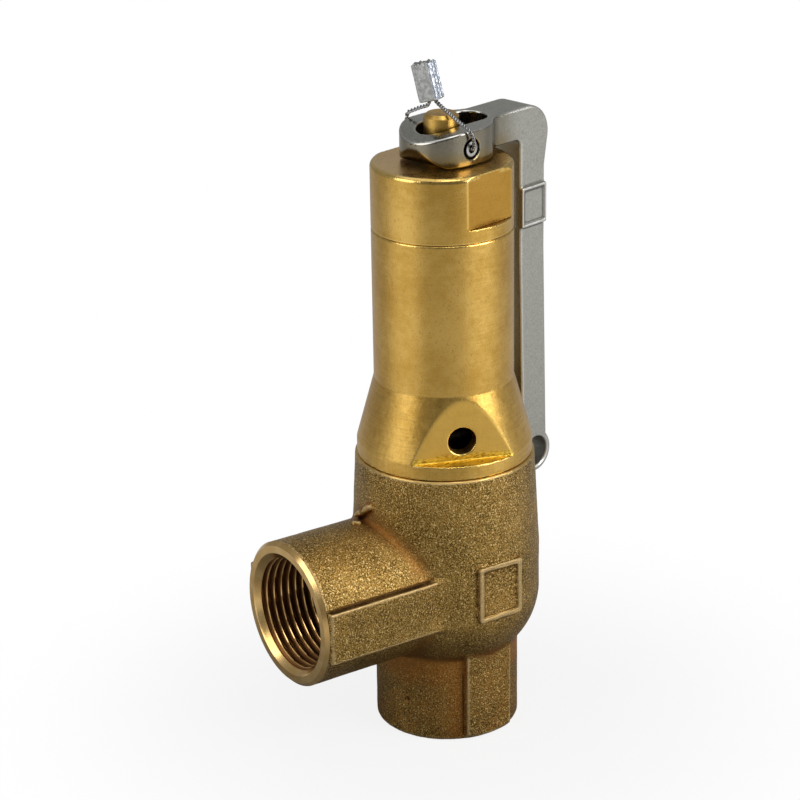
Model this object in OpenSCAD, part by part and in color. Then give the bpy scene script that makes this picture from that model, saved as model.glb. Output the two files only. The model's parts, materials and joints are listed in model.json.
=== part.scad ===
// Pressure relief valve with easing lever, inlet below, outlet to the -X side.
// Millimetres, +Z up, origin at the centre of the inlet face.

/* [Connections] */
// Largest radius of the internal pipe threads, 3/4 inch parallel
thread_r = 13.22; // [13:0.02:13.4]
// Depth of the internal pipe threads
thread_depth = 15; // [12:0.5:16]
// Outer radius of the inlet collar
inlet_collar_r = 15.75; // [15.2:0.05:16.2]
// Outer radius of the outlet collar
outlet_collar_r = 15.9; // [15.2:0.05:16.2]
// Distance of the outlet face from the valve axis
outlet_reach = 41.3; // [39:0.1:50]
// Height of the outlet axis above the inlet face
outlet_z = 34.9; // [34.5:0.1:35.5]

/* [Casting] */
// Widest radius of the cast barrel
barrel_r = 20.5; // [20:0.1:22]
// Radius of the barrel at its top edge
barrel_top_r = 19.4; // [19:0.1:20]
// Height of the joint between casting and bonnet
joint_z = 63.2; // [62.5:0.1:70]
// Width of the cast spanner pads
pad_w = 11.8; // [9:0.1:13]
// How far the inlet pads stand out from their collar
inlet_pad_out = 0.55; // [0.3:0.05:1]
// How far the outlet pads stand out from their collar
outlet_pad_out = 0.4; // [0.3:0.05:1]
// Width of the raised frame on the barrel
frame_w = 11.5; // [9:0.1:13]
// Height of the raised frame on the barrel
frame_h = 13.4; // [10:0.1:15]
// Radius of the seat bore
seat_r = 6.5; // [5.5:0.1:7]

/* [Bonnet and cap] */
// Radius of the bonnet and the cap
bonnet_r = 15; // [14.6:0.05:15.6]
// Length of the bonnet above the casting
bonnet_h = 50.3; // [46:0.1:60]
// Step in from the top edge of the casting to the bonnet rim
rim_step = 0.5; // [0.3:0.05:1]
// Height of the bonnet rim
rim_h = 3.1; // [2.5:0.1:3.5]
// Height of the flare above the rim
flare_h = 14.2; // [12:0.1:18]
// Height of the cap
cap_h = 14.2; // [13.5:0.1:18]
// Radius of the rounded top edge of the cap
cap_edge_r = 1.1; // [0.5:0.1:1.5]
// Distance across the two spanner flats of the cap
cap_flats = 27; // [26.4:0.1:28]
// Height of the spanner flats of the cap
flat_h = 11.2; // [8:0.1:12]
// Radius of the vent hole in the bonnet
vent_r = 3; // [2:0.1:3.2]

/* [Spring load] */
// Radius of the hollow adjusting screw
screw_r = 7.9; // [7:0.1:8.5]
// Radius of the spring wire
spring_wire_r = 1.35; // [1:0.05:1.5]
// Number of turns of the spring
spring_turns = 7.5; // [6:0.5:8]

/* [Spindle and lever] */
// Radius of the spindle
spindle_r = 3.7; // [3.5:0.05:3.8]
// Height of the lever pin above the cap
pin_rise = 3.8; // [3.6:0.05:4]
// Height of the top of the spindle above the pin
spindle_rise = 6.2; // [5.5:0.1:6.4]
// Height of the top of the lever above the pin
lever_rise = 3.9; // [3.5:0.1:4.1]
// Half width of the lever head
head_r = 8.75; // [8.5:0.05:9]
// Half thickness of the lever arm
arm_half = 4.55; // [4.3:0.05:5]
// Width of the lever arm
arm_w = 7.8; // [7:0.1:8.5]
// Distance of the lever eye below the pin
lever_drop = 75.6; // [70:0.1:80]
// Outer radius of the lever eye
eye_r = 4.75; // [4.4:0.05:5]
// Radius of the hole in the lever eye
eye_hole_r = 3.4; // [2.6:0.1:3.6]

/* [Hidden] */
$fn = 96;
// Gap kept where a moving piece passes a fixed one without touching it
free_gap = 0.3;
// Radial gap of a piece that is free to pass a hole
pass_gap = 0.4;
// Radial gap of a shaft running in its guide
run_gap = 0.08;
// Radial gap of pieces that are screwed or pushed together
fit_gap = 0.05;
// Small step added so that cuts pass right through a face
cut = 0.05;
// Turn of lever, pin and cap about the valve axis, degrees
head_turn = 11.5;
// Turn of the vent about the valve axis, degrees
vent_angle = -110.8;

// Casting: heights from the outlet axis and the joint, radii from the outer walls
barrel_base_drop = 3.7;
barrel_straight_h = 10.8;
inlet_edge = 0.6;
outlet_edge = 0.8;
mouth_edge = 0.35;
inlet_step = 1.2;
inlet_cone_h = 6;
pad_start = 10;
pad_end = 1.1;
pad_root = 9;
collar_root = 2;
seat_rise = 1.1;
nozzle_h = 9;
nozzle_wall = 1.8;
nozzle_foot_wall = 3.3;
chamber_wall = 5.5;
throat_step = 1.82;
throat_root = 3;
ledge_depth = 13.2;
spigot_wall = 2.95;
gasket_h = 1.5;
gasket_wall = 1.9;
frame_rise = 1.9;
frame_out = 0.35;
frame_line = 1.1;
frame_sunk = 0.45;
frame_depth = 4;
barrel_low_z = outlet_z - barrel_base_drop;
barrel_mid_z = barrel_low_z + barrel_straight_h;
seat_z = outlet_z + seat_rise;
nozzle_top_r = seat_r + nozzle_wall;
nozzle_foot_r = seat_r + nozzle_foot_wall;
floor_z = seat_z - nozzle_h;
chamber_r = barrel_r - chamber_wall;
outlet_throat_r = thread_r - throat_step;
ledge_z = joint_z - ledge_depth;
spigot_bore_r = barrel_top_r - spigot_wall;
gasket_bore_r = barrel_top_r - gasket_wall;
frame_z = outlet_z + frame_rise;

// Guide plate with its hub and rubber ring
guide_t = 3;
hub_wall = 3.8;
hub_h = 1.8;
ring_wire_r = 0.8;
ring_groove_h = 1.7;
ring_groove_drop = 0.6;
guide_top_z = ledge_z + guide_t;
hub_r = spindle_r + hub_wall;
ring_r = spindle_r + run_gap + ring_wire_r;
ring_groove_z = ledge_z - ring_groove_drop;

// Bonnet, cap and what is screwed into them
spring_wall = 3;
cap_wall = 3;
cap_roof = 2.8;
screw_room = 0.9;
screw_reach = 13.5;
neck_drop = 5.5;
bore_drop = 7.5;
screw_slot_w = 2.4;
screw_slot_h = 2;
nut_h = 3.6;
nut_room = 1.03;
seam_edge = 0.3;
vent_flat_out = 0.3;
vent_rise = 7.4;
vent_edge = 0.3;
seam_z = joint_z + bonnet_h;
rim_r = barrel_top_r - rim_step;
spigot_r = spigot_bore_r - fit_gap;
spring_bore_r = bonnet_r - spring_wall;
cap_top_z = seam_z + cap_h;
cap_bore_r = bonnet_r - cap_wall;
cap_ceiling_z = cap_top_z - cap_roof;
neck_r = cap_bore_r - fit_gap;
screw_top_z = cap_ceiling_z - screw_room;
screw_low_z = seam_z - screw_reach;
neck_top_z = screw_top_z - neck_drop;
bore_top_z = seam_z - bore_drop;
screw_hole_r = screw_r + fit_gap;
nut_r = cap_bore_r - nut_room;
vent_flat = bonnet_r + vent_flat_out;
vent_z = joint_z + vent_rise;
passage_r = spindle_r + pass_gap;

// Spring between its two plates
plate_room = 0.7;
plate_t = 2.8;
upper_plate_t = 3;
plate_rise = 9;
plate_boss_h = 2.5;
spring_room = 1.05;
boss_room = 0.65;
end_turns = 0.9;
end_gap = 0.24;
clip_t = 1.2;
clip_wall = 1.9;
groove_depth = 0.7;
plate_r = spring_bore_r - plate_room;
upper_plate_z = screw_low_z - upper_plate_t;
lower_plate_z = guide_top_z + plate_rise;
spring_r = plate_r - spring_wire_r - spring_room;
plate_boss_r = spring_r - spring_wire_r - boss_room;
clip_r = spindle_r + clip_wall;
groove_r = spindle_r - groove_depth;

// Sealing disc and its holder, heights from the seat
disc_rise = 0.2;
disc_t = 2.8;
disc_lap = 2.7;
holder_rise = 1.2;
holder_h = 7.8;
holder_wall = 1.3;
spindle_foot_rise = 5.3;
disc_clip_rise = 7;
disc_clip_t = 0.9;
disc_clip_wall = 0.8;
washer_t = 1;
washer_lap = 1.1;
seal_screw_r = 2;
seal_screw_half = 3.5;
seal_screw_head = 2.6;
seal_screw_grip = 2.2;
disc_low_z = seat_z + disc_rise;
disc_r = seat_r + disc_lap;
holder_low_z = seat_z + holder_rise;
holder_top_z = holder_low_z + holder_h;
holder_r = disc_r + holder_wall;
spindle_low_z = seat_z + spindle_foot_rise;
disc_clip_z = seat_z + disc_clip_rise;
disc_clip_r = spindle_r + disc_clip_wall;
washer_r = seat_r - washer_lap;

// Pin and lever, heights from the pin
pin_r = 1.75;
pin_bore_r = 0.95;
pin_sunk = 0.2;
spindle_edge = 0.7;
cam_shift = 5.5;
head_reach = 3;
head_fall_r = 18;
head_fillet_r = 2;
slot_nose = 2.05;
slot_tail = 0.25;
arm_gap = 0.5;
arm_lean = 1;
arm_knee_drop = 32.4;
arm_neck_drop = 13.9;
bridge_gap = 0.9;
bridge_fillet_r = 1.4;
shoulder_less = 1.3;
shoulder_in = 2.5;
eye_out = 5.4;
arm_frame_drop = 26.4;
arm_frame_h = 8.9;
arm_frame_out = 0.6;
arm_frame_line = 0.7;
arm_frame_sunk = 0.35;
pin_z = cap_top_z + pin_rise;
pin_hole_r = pin_r + pass_gap;
pin_half = head_r - pin_sunk;
spindle_top_z = pin_z + spindle_rise;
lever_top_z = pin_z + lever_rise;
cam_r = pin_rise - free_gap;
slot_half = spindle_r + pass_gap;
slot_from = -spindle_r - slot_nose;
slot_to = head_reach + head_r + slot_tail;
arm_inner = rim_r + arm_gap;
arm_knee_z = lever_top_z - arm_knee_drop;
arm_neck_z = lever_top_z - arm_neck_drop;
bridge_low_z = cap_top_z + bridge_gap;
shoulder_r = arm_w - shoulder_less;
shoulder_x = arm_inner + shoulder_in;
shoulder_z = lever_top_z - shoulder_r;
eye_x = arm_inner + eye_out;
eye_z = pin_z - lever_drop;
arm_frame_z = lever_top_z - arm_frame_drop;

// Seal and its wire
tag_w = 4.5;
tag_d = 3.4;
tag_h = 8.3;
tag_place = [-2, 0.6, 9];
tag_yaw = -76;
tag_tilt = -15;
wire_r = 0.45;

// Ring with a straight outer wall and a straight bore
module tube(r_out, r_in, z_low, z_high) {
    translate([0, 0, z_low])
        difference() {
            cylinder(r = r_out, h = z_high - z_low);
            translate([0, 0, -1])
                cylinder(r = r_in, h = z_high - z_low + 2);
        }
}

// Places things built along +Z on the outlet axis, pointing out of the outlet
module outlet_frame() {
    translate([0, 0, outlet_z])
        rotate([0, -90, 0])
            children();
}

// Turns lever, pin and cap flats to the angle at which the cap was tightened
module turned() {
    rotate([0, 0, head_turn])
        children();
}

// Extrudes an outline drawn in X and Z, half on either side of the lever's middle
module side_slab(half) {
    rotate([90, 0, 0])
        translate([0, 0, -half])
            linear_extrude(height = 2 * half)
                children();
}

// Round bar across the lever, at x and z, as thick as twice half
module cross_bar(x, z, r, half) {
    translate([x, 0, z])
        rotate([90, 0, 0])
            cylinder(r = r, h = 2 * half, center = true);
}

// Sand-cast bronze body: barrel with round base, inlet collar, outlet collar, seat nozzle
module valve_body() {
    inlet_pad = inlet_collar_r + inlet_pad_out;
    outlet_pad = outlet_collar_r + outlet_pad_out;
    color([0.55, 0.44, 0.24])
    difference() {
        union() {
            cylinder(r1 = inlet_collar_r - inlet_edge, r2 = inlet_collar_r, h = inlet_edge);
            translate([0, 0, inlet_edge])
                cylinder(r = inlet_collar_r, h = floor_z - collar_root);
            translate([-pad_w / 2, -inlet_pad, inlet_edge / 2])
                cube([pad_w, 2 * inlet_pad, barrel_low_z - pad_root]);
            intersection() {
                translate([0, 0, barrel_low_z])
                    sphere(r = barrel_r);
                cylinder(r = barrel_r + 1, h = barrel_low_z);
            }
            translate([0, 0, barrel_low_z])
                cylinder(r = barrel_r, h = barrel_mid_z - barrel_low_z);
            translate([0, 0, barrel_mid_z])
                cylinder(r1 = barrel_r, r2 = barrel_top_r, h = joint_z - barrel_mid_z);
            outlet_frame() {
                cylinder(r = outlet_collar_r, h = outlet_reach - outlet_edge);
                translate([0, 0, outlet_reach - outlet_edge])
                    cylinder(r1 = outlet_collar_r, r2 = outlet_collar_r - outlet_edge,
                        h = outlet_edge);
                translate([-pad_w / 2, -outlet_pad, pad_start])
                    cube([pad_w, 2 * outlet_pad, outlet_reach - pad_start - pad_end]);
            }
            barrel_frame();
        }
        translate([0, 0, -1])
            cylinder(r = thread_r, h = thread_depth + 1);
        translate([0, 0, thread_depth - cut])
            cylinder(r1 = thread_r - inlet_step, r2 = seat_r, h = inlet_cone_h);
        translate([0, 0, thread_depth])
            cylinder(r = seat_r, h = joint_z);
        difference() {
            translate([0, 0, floor_z])
                cylinder(r = chamber_r, h = joint_z);
            translate([0, 0, floor_z - 1])
                cylinder(r1 = nozzle_foot_r, r2 = nozzle_top_r, h = nozzle_h + 1);
        }
        translate([0, 0, ledge_z])
            cylinder(r = spigot_bore_r, h = joint_z);
        translate([0, 0, joint_z - gasket_h])
            cylinder(r = gasket_bore_r, h = joint_z);
        outlet_frame() {
            translate([0, 0, outlet_reach - thread_depth])
                cylinder(r = thread_r, h = thread_depth + 1);
            translate([0, 0, outlet_reach - mouth_edge])
                cylinder(r1 = thread_r, r2 = thread_r + mouth_edge + cut, h = mouth_edge + cut);
            translate([0, 0, chamber_r - throat_root])
                cylinder(r = outlet_throat_r, h = outlet_reach - chamber_r);
        }
    }
}

// Raised frame on the front of the barrel, bare inside
module barrel_frame() {
    translate([-frame_w / 2, -barrel_r - frame_out, frame_z - frame_h / 2])
        difference() {
            cube([frame_w, frame_depth, frame_h]);
            translate([frame_line, -1, frame_line])
                cube([frame_w - 2 * frame_line, 1 + frame_sunk, frame_h - 2 * frame_line]);
        }
}

// Flat ring that seals the joint between casting and bonnet
module body_gasket() {
    color([0.2, 0.2, 0.2])
    tube(gasket_bore_r - 2 * fit_gap, spigot_r + 2 * fit_gap, joint_z - gasket_h, joint_z);
}

// Brass plate with a hub that guides the spindle
module guide_plate() {
    color([0.72, 0.58, 0.28])
    difference() {
        union() {
            translate([0, 0, ledge_z])
                cylinder(r = spigot_bore_r - 3 * fit_gap, h = guide_t);
            translate([0, 0, ledge_z - hub_h])
                cylinder(r = hub_r, h = hub_h + 0.2);
        }
        translate([0, 0, ledge_z - 2 * hub_h])
            cylinder(r = spindle_r + run_gap, h = 2 * hub_h + 2 * guide_t);
        translate([0, 0, ring_groove_z])
            cylinder(r = ring_r + ring_wire_r + fit_gap, h = ring_groove_h);
    }
}

// Rubber ring in the guide plate, keeps the spring chamber dry
module guide_o_ring() {
    color([0.08, 0.08, 0.08])
    translate([0, 0, ring_groove_z + ring_groove_h / 2])
        rotate_extrude()
            translate([ring_r, 0])
                circle(r = ring_wire_r, $fn = 24);
}

// Turned brass spring housing: rim, flare, tube, threaded neck, vent hole on a milled flat
module bonnet() {
    rim_top_z = joint_z + rim_h;
    flare_top_z = rim_top_z + flare_h;
    color([0.78, 0.62, 0.27])
    difference() {
        union() {
            translate([0, 0, guide_top_z])
                cylinder(r = spigot_r, h = joint_z - guide_top_z + 1);
            translate([0, 0, joint_z])
                cylinder(r = rim_r, h = rim_h);
            translate([0, 0, rim_top_z])
                cylinder(r1 = rim_r, r2 = bonnet_r, h = flare_h);
            translate([0, 0, flare_top_z])
                cylinder(r = bonnet_r, h = seam_z - flare_top_z - seam_edge);
            translate([0, 0, seam_z - seam_edge])
                cylinder(r1 = bonnet_r, r2 = bonnet_r - seam_edge, h = seam_edge);
            translate([0, 0, seam_z - 1])
                cylinder(r = neck_r, h = neck_top_z - seam_z + 1);
        }
        translate([0, 0, guide_top_z - 1])
            cylinder(r = spring_bore_r + 1, h = joint_z - guide_top_z + 0.8);
        translate([0, 0, guide_top_z])
            cylinder(r = spring_bore_r, h = bore_top_z - guide_top_z);
        translate([0, 0, bore_top_z - 1])
            cylinder(r = screw_hole_r, h = neck_top_z - bore_top_z + 2);
        rotate([0, 0, vent_angle]) {
            translate([vent_flat, -rim_r, rim_top_z])
                cube([rim_r, 2 * rim_r, flare_h + 1]);
            translate([spring_bore_r / 2, 0, vent_z])
                rotate([0, 90, 0])
                    cylinder(r = vent_r, h = bonnet_r, $fn = 48);
            translate([vent_flat - vent_edge + cut, 0, vent_z])
                rotate([0, 90, 0])
                    cylinder(r1 = vent_r, r2 = vent_r + vent_edge, h = vent_edge, $fn = 48);
        }
    }
}

// Hollow screw that sets the spring load
module adjusting_screw() {
    color([0.74, 0.59, 0.28])
    difference() {
        tube(screw_r, passage_r, screw_low_z, screw_top_z);
        translate([-screw_r - 1, -screw_slot_w / 2, screw_top_z - screw_slot_h])
            cube([2 * screw_r + 2, screw_slot_w, screw_slot_h + 1]);
    }
}

// Hexagon nut that locks the adjusting screw
module lock_nut() {
    color([0.74, 0.6, 0.3])
    difference() {
        translate([0, 0, neck_top_z])
            cylinder(r = nut_r, h = nut_h, $fn = 6);
        translate([0, 0, neck_top_z - 1])
            cylinder(r = screw_hole_r, h = nut_h + 2);
    }
}

// Brass cap with two spanner flats and a rounded top edge
module cap() {
    edge_arc = [for (a = [0 : 15 : 90])
        [bonnet_r - cap_edge_r + cap_edge_r * cos(a), cap_top_z - cap_edge_r + cap_edge_r * sin(a)]];
    color([0.78, 0.62, 0.27])
    difference() {
        rotate_extrude()
            polygon(concat([[0, seam_z], [bonnet_r - seam_edge, seam_z],
                [bonnet_r, seam_z + seam_edge]], edge_arc, [[0, cap_top_z]]));
        translate([0, 0, seam_z - 1])
            cylinder(r = cap_bore_r, h = cap_ceiling_z - seam_z + 1);
        translate([0, 0, cap_ceiling_z - 1])
            cylinder(r = passage_r, h = cap_h);
        turned()
            for (side = [0, 180])
                rotate([0, 0, side])
                    translate([-bonnet_r - 1, cap_flats / 2, cap_top_z - flat_h])
                        cube([2 * bonnet_r + 2, bonnet_r, flat_h + 1]);
    }
}

// Steel plate between adjusting screw and spring
module upper_spring_plate() {
    color([0.6, 0.6, 0.58])
    union() {
        tube(plate_r, passage_r, upper_plate_z, screw_low_z);
        tube(plate_boss_r, passage_r, upper_plate_z - plate_boss_h, upper_plate_z + 1);
    }
}

// Compression spring, a round wire wound on a helix with closed ends
module spring() {
    rings = 150;
    sides = 8;
    low = lower_plate_z + spring_wire_r + fit_gap;
    high = upper_plate_z - spring_wire_r - fit_gap;
    end_pitch = 2 * spring_wire_r + end_gap;
    pitch = (high - low - 2 * end_turns * end_pitch) / (spring_turns - 2 * end_turns);
    function rise(u) =
        u < end_turns ? u * end_pitch :
        u > spring_turns - end_turns ? high - low - (spring_turns - u) * end_pitch :
            end_turns * end_pitch + (u - end_turns) * pitch;
    points = [
        for (i = [0 : rings]) let (u = i * spring_turns / rings)
            for (k = [0 : sides - 1]) let (a = 360 * u, b = 360 * k / sides)
                [(spring_r + spring_wire_r * cos(b)) * cos(a),
                 (spring_r + spring_wire_r * cos(b)) * sin(a),
                 low + rise(u) + spring_wire_r * sin(b)]
    ];
    walls = [
        for (i = [0 : rings - 1]) for (k = [0 : sides - 1])
            let (a = i * sides + k, b = i * sides + (k + 1) % sides)
                [a, a + sides, b + sides, b]
    ];
    ends = [[for (k = [0 : sides - 1]) k],
        [for (k = [sides - 1 : -1 : 0]) rings * sides + k]];
    echo(spring_gap = pitch - 2 * spring_wire_r);
    color([0.45, 0.46, 0.48])
    polyhedron(points = points, faces = concat(walls, ends), convexity = 10);
}

// Steel plate that carries the spring on the spindle
module lower_spring_plate() {
    color([0.6, 0.6, 0.58])
    union() {
        tube(plate_r, spindle_r + fit_gap, lower_plate_z - plate_t, lower_plate_z);
        tube(plate_boss_r, spindle_r + fit_gap, lower_plate_z - 1, lower_plate_z + plate_boss_h);
    }
}

// Steel ring in a spindle groove, holds the lower spring plate
module plate_clip() {
    color([0.35, 0.35, 0.36])
    tube(clip_r, groove_r + fit_gap, lower_plate_z - plate_t - clip_t, lower_plate_z - plate_t);
}

// Brass spindle from the disc holder up to the lever
module spindle() {
    body_h = spindle_top_z - spindle_edge - spindle_low_z;
    color([0.8, 0.64, 0.3])
    difference() {
        union() {
            translate([0, 0, spindle_low_z])
                cylinder(r = spindle_r, h = body_h);
            translate([0, 0, spindle_low_z + body_h])
                cylinder(r1 = spindle_r, r2 = spindle_r - spindle_edge, h = spindle_edge);
        }
        tube(spindle_r + 1, groove_r, lower_plate_z - plate_t - clip_t, lower_plate_z - plate_t);
        tube(spindle_r + 1, groove_r, disc_clip_z, disc_clip_z + disc_clip_t);
        turned()
            cross_bar(0, pin_z, pin_r + 0.01, 2 * spindle_r);
        translate([0, 0, spindle_low_z - 1])
            cylinder(r = seal_screw_r + fit_gap, h = seal_screw_grip + 1 + free_gap, $fn = 48);
    }
}

// Brass holder of the sealing disc
module disc_holder() {
    color([0.74, 0.59, 0.28])
    difference() {
        translate([0, 0, holder_low_z])
            cylinder(r = holder_r, h = holder_top_z - holder_low_z);
        translate([0, 0, holder_low_z - 1])
            cylinder(r = disc_r + fit_gap, h = disc_low_z + disc_t - holder_low_z + 1);
        translate([0, 0, spindle_low_z])
            cylinder(r = spindle_r + fit_gap, h = holder_top_z);
        translate([0, 0, holder_low_z])
            cylinder(r = seal_screw_r + fit_gap, h = holder_top_z, $fn = 48);
        tube(disc_clip_r + 2 * fit_gap, spindle_r - 1, disc_clip_z, disc_clip_z + disc_clip_t);
    }
}

// Snap ring that keeps the disc holder on the spindle
module disc_clip() {
    color([0.35, 0.35, 0.36])
    tube(disc_clip_r, groove_r + fit_gap, disc_clip_z, disc_clip_z + disc_clip_t);
}

// Rubber disc that closes the seat
module disc_seal() {
    color([0.1, 0.1, 0.1])
    tube(disc_r, seal_screw_r + fit_gap, disc_low_z, disc_low_z + disc_t);
}

// Washer that clamps the rubber disc
module seal_washer() {
    color([0.62, 0.62, 0.6])
    tube(washer_r, seal_screw_r + fit_gap, disc_low_z - washer_t, disc_low_z);
}

// Hexagon screw through washer, rubber disc and holder into the spindle
module seal_screw() {
    head_top_z = disc_low_z - washer_t;
    color([0.6, 0.6, 0.6])
    union() {
        translate([0, 0, head_top_z - seal_screw_head])
            cylinder(r = seal_screw_half / cos(30), h = seal_screw_head, $fn = 6);
        translate([0, 0, head_top_z - 1])
            cylinder(r = seal_screw_r, h = spindle_low_z + seal_screw_grip - head_top_z + 1, $fn = 48);
    }
}

// Hollow pin through lever head and spindle
module lever_pin() {
    color([0.6, 0.6, 0.6])
    turned()
        difference() {
            cross_bar(0, pin_z, pin_r, pin_half);
            cross_bar(0, pin_z, pin_bore_r, 2 * pin_half);
        }
}

// Sealing wire through the pin, both ends led up over the lever head into the seal
module seal_wire() {
    sides = 8;
    steps = 3;
    route = [[-1.6, 0.4, 9.7], [-1.2, 0.2, 8.7], [-1.1, -1.2, 7.8], [-1.3, -4, 6.6],
        [-1.5, -6.8, 5.4], [-1.5, -8.7, 4.6], [-1.3, -9.5, 3.8], [-0.8, -9.65, 2.4],
        [-0.3, -9.55, 1.1], [0, -9.2, 0.3], [0, -8.4, 0], [0, -4, 0], [0, 0, 0],
        [0, 4, 0], [0, 8.4, 0], [0, 9.2, 0.3], [-0.1, 9.55, 1.1], [-0.3, 9.65, 2.5],
        [-0.4, 9.5, 3.9], [-0.5, 8.9, 4.8], [-0.8, 7, 5.7], [-1.3, 4.5, 6.8],
        [-1.9, 2.2, 7.7], [-2.3, 1.2, 8.7], [-2.4, 1, 9.7]];
    last = len(route) - 1;
    function at(i) = route[max(0, min(last, i))];
    function bend(p, q, r, s, t) =
        0.5 * (2 * q + (r - p) * t + (2 * p - 5 * q + 4 * r - s) * t * t
            + (3 * q - p - 3 * r + s) * t * t * t);
    path = [
        for (i = [0 : last - 1]) for (k = [0 : steps - 1])
            bend(at(i - 1), at(i), at(i + 1), at(i + 2), k / steps),
        route[last]];
    rings = len(path) - 1;
    function unit(v) = v / norm(v);
    function ahead(i) = unit(path[min(rings, i + 1)] - path[max(0, i - 1)]);
    points = [
        for (i = [0 : rings])
            let (d = ahead(i), s = unit(cross(d, [1, 0.05, 0.02])), n = cross(d, s))
                for (k = [0 : sides - 1])
                    path[i] + wire_r * (cos(360 * k / sides) * s + sin(360 * k / sides) * n)
    ];
    walls = [
        for (i = [0 : rings - 1]) for (k = [0 : sides - 1])
            let (a = i * sides + k, b = i * sides + (k + 1) % sides)
                [a, b, b + sides, a + sides]
    ];
    ends = [[for (k = [sides - 1 : -1 : 0]) k],
        [for (k = [0 : sides - 1]) rings * sides + k]];
    color([0.75, 0.75, 0.76])
    turned()
        translate([0, 0, pin_z])
            polyhedron(points = points, faces = concat(walls, ends), convexity = 10);
}

// Crimped metal seal on the wire ends
module seal_tag() {
    color([0.8, 0.81, 0.83])
    turned()
        translate([0, 0, pin_z])
            translate(tag_place)
                rotate([0, 0, tag_yaw])
                    rotate([0, tag_tilt, 0])
                        translate([-tag_w / 2, -tag_d / 2, 0])
                            cube([tag_w, tag_d, tag_h]);
}

// Easing lever: slotted cam head on the pin, bridge over the cap edge, hanging arm with an eye
module lever() {
    head_low = pin_z - 2 * cam_r;
    head_high = 2 * (lever_top_z - head_low);
    color([0.62, 0.62, 0.6])
    turned()
    difference() {
        union() {
            intersection() {
                union() {
                    translate([0, 0, head_low])
                        cylinder(r = head_r, h = head_high);
                    translate([0, -head_r, head_low])
                        cube([head_reach, 2 * head_r, head_high]);
                    translate([head_reach, 0, head_low])
                        cylinder(r = head_r, h = head_high);
                }
                head_side();
            }
            intersection() {
                translate([head_reach, -arm_half, eye_z - eye_r])
                    cube([arm_inner + 2 * arm_w, 2 * arm_half, lever_top_z - eye_z + 2 * eye_r]);
                arm_side();
            }
            head_fillets();
            intersection() {
                cross_bar(shoulder_x, shoulder_z, shoulder_r, arm_half);
                translate([shoulder_x, -2 * arm_half, shoulder_z - shoulder_r])
                    cube([2 * shoulder_r, 4 * arm_half, 2 * shoulder_r + 1]);
            }
            cross_bar(eye_x, eye_z, eye_r, arm_half);
            arm_frame();
        }
        translate([0, 0, head_low]) {
            translate([slot_from + slot_half, 0, 0])
                cylinder(r = slot_half, h = head_high);
            translate([slot_from + slot_half, -slot_half, 0])
                cube([slot_to - slot_from - 2 * slot_half, 2 * slot_half, head_high]);
            translate([slot_to - slot_half, 0, 0])
                cylinder(r = slot_half, h = head_high);
        }
        cross_bar(0, pin_z, pin_hole_r, 2 * head_r);
        cross_bar(eye_x, eye_z, eye_hole_r, 2 * arm_half);
    }
}

// Side outline of the lever head: flat foot, round cam nose, top falling away to the nose
module head_side() {
    wide = 2 * head_r + 2;
    difference() {
        union() {
            translate([-cam_shift, -wide, pin_z - cam_r])
                cube([cam_shift + head_reach + wide, 2 * wide, lever_rise + cam_r]);
            cross_bar(-cam_shift, pin_z, cam_r, wide);
        }
        difference() {
            translate([-wide, -wide, lever_top_z - head_r])
                cube([wide, 2 * wide, 2 * head_r]);
            cross_bar(0, lever_top_z - head_fall_r, head_fall_r, 2 * wide);
        }
    }
}

// Side outline of bridge and arm, the inner corner rounded, the arm leaning out below the knee
module arm_side() {
    corner = [for (a = [90 : -15 : 0])
        [arm_inner - bridge_fillet_r + bridge_fillet_r * cos(a),
         bridge_low_z - bridge_fillet_r + bridge_fillet_r * sin(a)]];
    side_slab(2 * arm_half)
        polygon(concat([[head_reach, bridge_low_z]], corner,
            [[arm_inner, arm_knee_z], [arm_inner + arm_lean, eye_z + 2], [eye_x, eye_z],
                [arm_inner + arm_w + arm_lean, eye_z + 3.2], [arm_inner + arm_w, arm_knee_z],
                [arm_inner + arm_w, arm_neck_z], [shoulder_x + shoulder_r - 0.25, shoulder_z - 1.8],
                [shoulder_x, shoulder_z], [shoulder_x, lever_top_z], [head_reach, lever_top_z]]));
}

// Hollow corners where the head narrows to the bridge, on both sides
module head_fillets() {
    side = arm_half + head_fillet_r;
    far = head_reach + sqrt(pow(head_r + head_fillet_r, 2) - pow(side, 2));
    translate([0, 0, bridge_low_z])
        linear_extrude(height = lever_top_z - bridge_low_z)
            difference() {
                polygon([[head_reach, 0], [far, side], [far, -side]]);
                for (y = [-side, side])
                    translate([far, y])
                        circle(r = head_fillet_r + 0.02);
            }
}

// Raised frame on the front of the arm, bare inside
module arm_frame() {
    translate([arm_inner, -arm_half - arm_frame_out, arm_frame_z])
        difference() {
            cube([arm_w, 2, arm_frame_h]);
            translate([arm_frame_line, -1, arm_frame_line])
                cube([arm_w - 2 * arm_frame_line, 1 + arm_frame_sunk,
                    arm_frame_h - 2 * arm_frame_line]);
        }
}

valve_body();
body_gasket();
guide_plate();
guide_o_ring();
bonnet();
adjusting_screw();
lock_nut();
cap();
upper_spring_plate();
spring();
lower_spring_plate();
plate_clip();
spindle();
disc_holder();
disc_clip();
disc_seal();
seal_washer();
seal_screw();
lever_pin();
seal_wire();
seal_tag();
lever();
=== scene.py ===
"""Pressure relief valve: cast bronze body, turned brass bonnet and cap, cast steel easing lever.

Casting, bonnet, cap, lever and seal are skins of signed distances, the threaded mouths are turned
grids, wire and spring are circles carried along paths. All shapes are given in millimetres."""
import itertools
import json
import math

import bpy
import numpy as np
from mathutils import Matrix, Vector


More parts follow.
